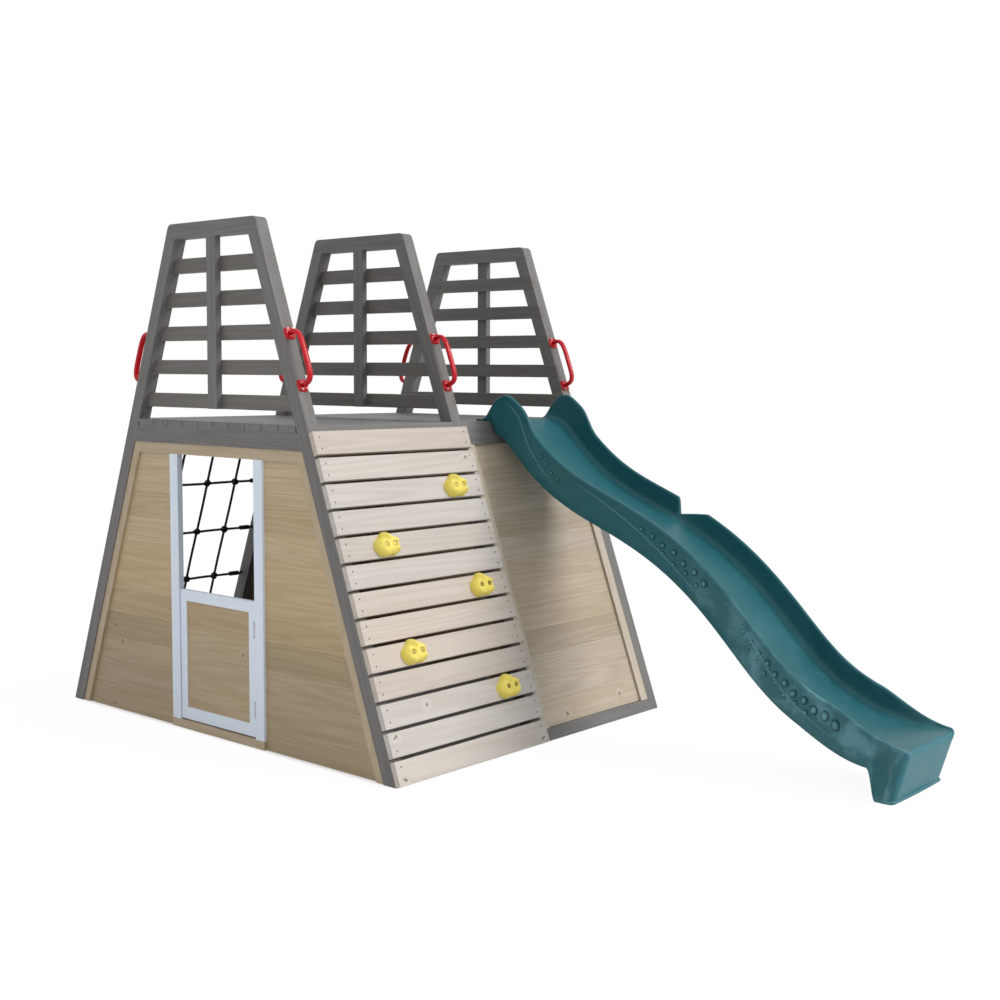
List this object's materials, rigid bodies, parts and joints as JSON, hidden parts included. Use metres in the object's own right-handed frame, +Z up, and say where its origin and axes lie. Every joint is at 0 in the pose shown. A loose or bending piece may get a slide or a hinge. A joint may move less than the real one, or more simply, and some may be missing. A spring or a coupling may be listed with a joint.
{
  "type": "climbing frame",
  "caption": "Wooden climbing frame with a guarded deck, a den with a half door, a climbing wall with holds, a rope net and a wavy moulded slide.",
  "frame": {"origin": "on the ground, in the middle of the whole object, slide included", "axes": "+Z up, +X along the front away from the door wall, -Y towards the foot of the slide"},
  "size_m": [1.476, 3.3988, 1.945],
  "materials": {
    "grey_wood": "dark grey stain, matt",
    "natural_wood": "clear matt, close boards",
    "pale_wood": "whitewash over wood grain",
    "white_wood": "white paint, satin",
    "steel": "zinc plated",
    "yellow_plastic": "moulded, matt",
    "red_plastic": "moulded, glossy",
    "black_rope": "twisted fibre rope",
    "black_plastic": "moulded, matt",
    "green_plastic": "moulded, satin"
  },
  "bodies": {
    "frame": {"left_front_leg": "grey_wood", "left_back_leg": "grey_wood", "left_top_rail": "grey_wood", "left_guard_slats": "grey_wood", "left_guard_post": "grey_wood", "middle_front_leg": "grey_wood", "middle_back_leg": "grey_wood", "middle_top_rail": "grey_wood", "middle_guard_slats": "grey_wood", "middle_guard_post": "grey_wood", "right_front_leg": "grey_wood", "right_back_leg": "grey_wood", "right_top_rail": "grey_wood", "right_guard_slats": "grey_wood", "right_guard_post": "grey_wood", "left_tie_beam": "grey_wood", "middle_tie_beam": "grey_wood", "right_tie_beam": "grey_wood", "front_deck_beams": "grey_wood", "back_deck_beams": "grey_wood", "deck_planks": "grey_wood", "deck_edge_planks": "grey_wood", "left_ground_beam": "grey_wood", "front_ground_beam": "grey_wood", "back_ground_beam": "grey_wood", "left_wall_front_boards": "natural_wood", "left_wall_back_boards": "natural_wood", "left_wall_sill": "natural_wood", "left_wall_front_trim": "natural_wood", "left_wall_back_trim": "natural_wood", "left_wall_top_trim": "natural_wood", "right_wall_boards": "natural_wood", "right_wall_trim": "natural_wood", "front_wall_boards": "natural_wood", "front_wall_trim": "natural_wood", "back_wall_boards": "natural_wood", "back_wall_trim": "natural_wood", "hinge_door_post": "white_wood", "closing_door_post": "white_wood", "hinge_post_leaves": "steel", "hinge_pins": "steel", "climbing_slats": "pale_wood", "climbing_holds": "yellow_plastic", "hold_bolts": "steel", "rope_net": "black_rope", "net_ferrules": "black_plastic", "left_front_handle": "red_plastic", "left_back_handle": "red_plastic", "middle_front_handle": "red_plastic", "middle_back_handle": "red_plastic", "right_front_handle": "red_plastic", "right_back_handle": "red_plastic", "handle_screws": "steel", "slide": "green_plastic"},
    "door": {"door_hinge_stile": "white_wood", "door_closing_stile": "white_wood", "door_top_rail": "white_wood", "door_bottom_rail": "white_wood", "door_panel": "natural_wood", "hinge_door_leaves": "steel"}
  },
  "joints": [
    {"name": "door_swing", "type": "hinge", "parent": "frame", "child": "door", "pos_m": [-0.7335, 0.47106, 0.292], "axis": [0, 0, 1], "range_deg": [0, 110]}
  ]
}
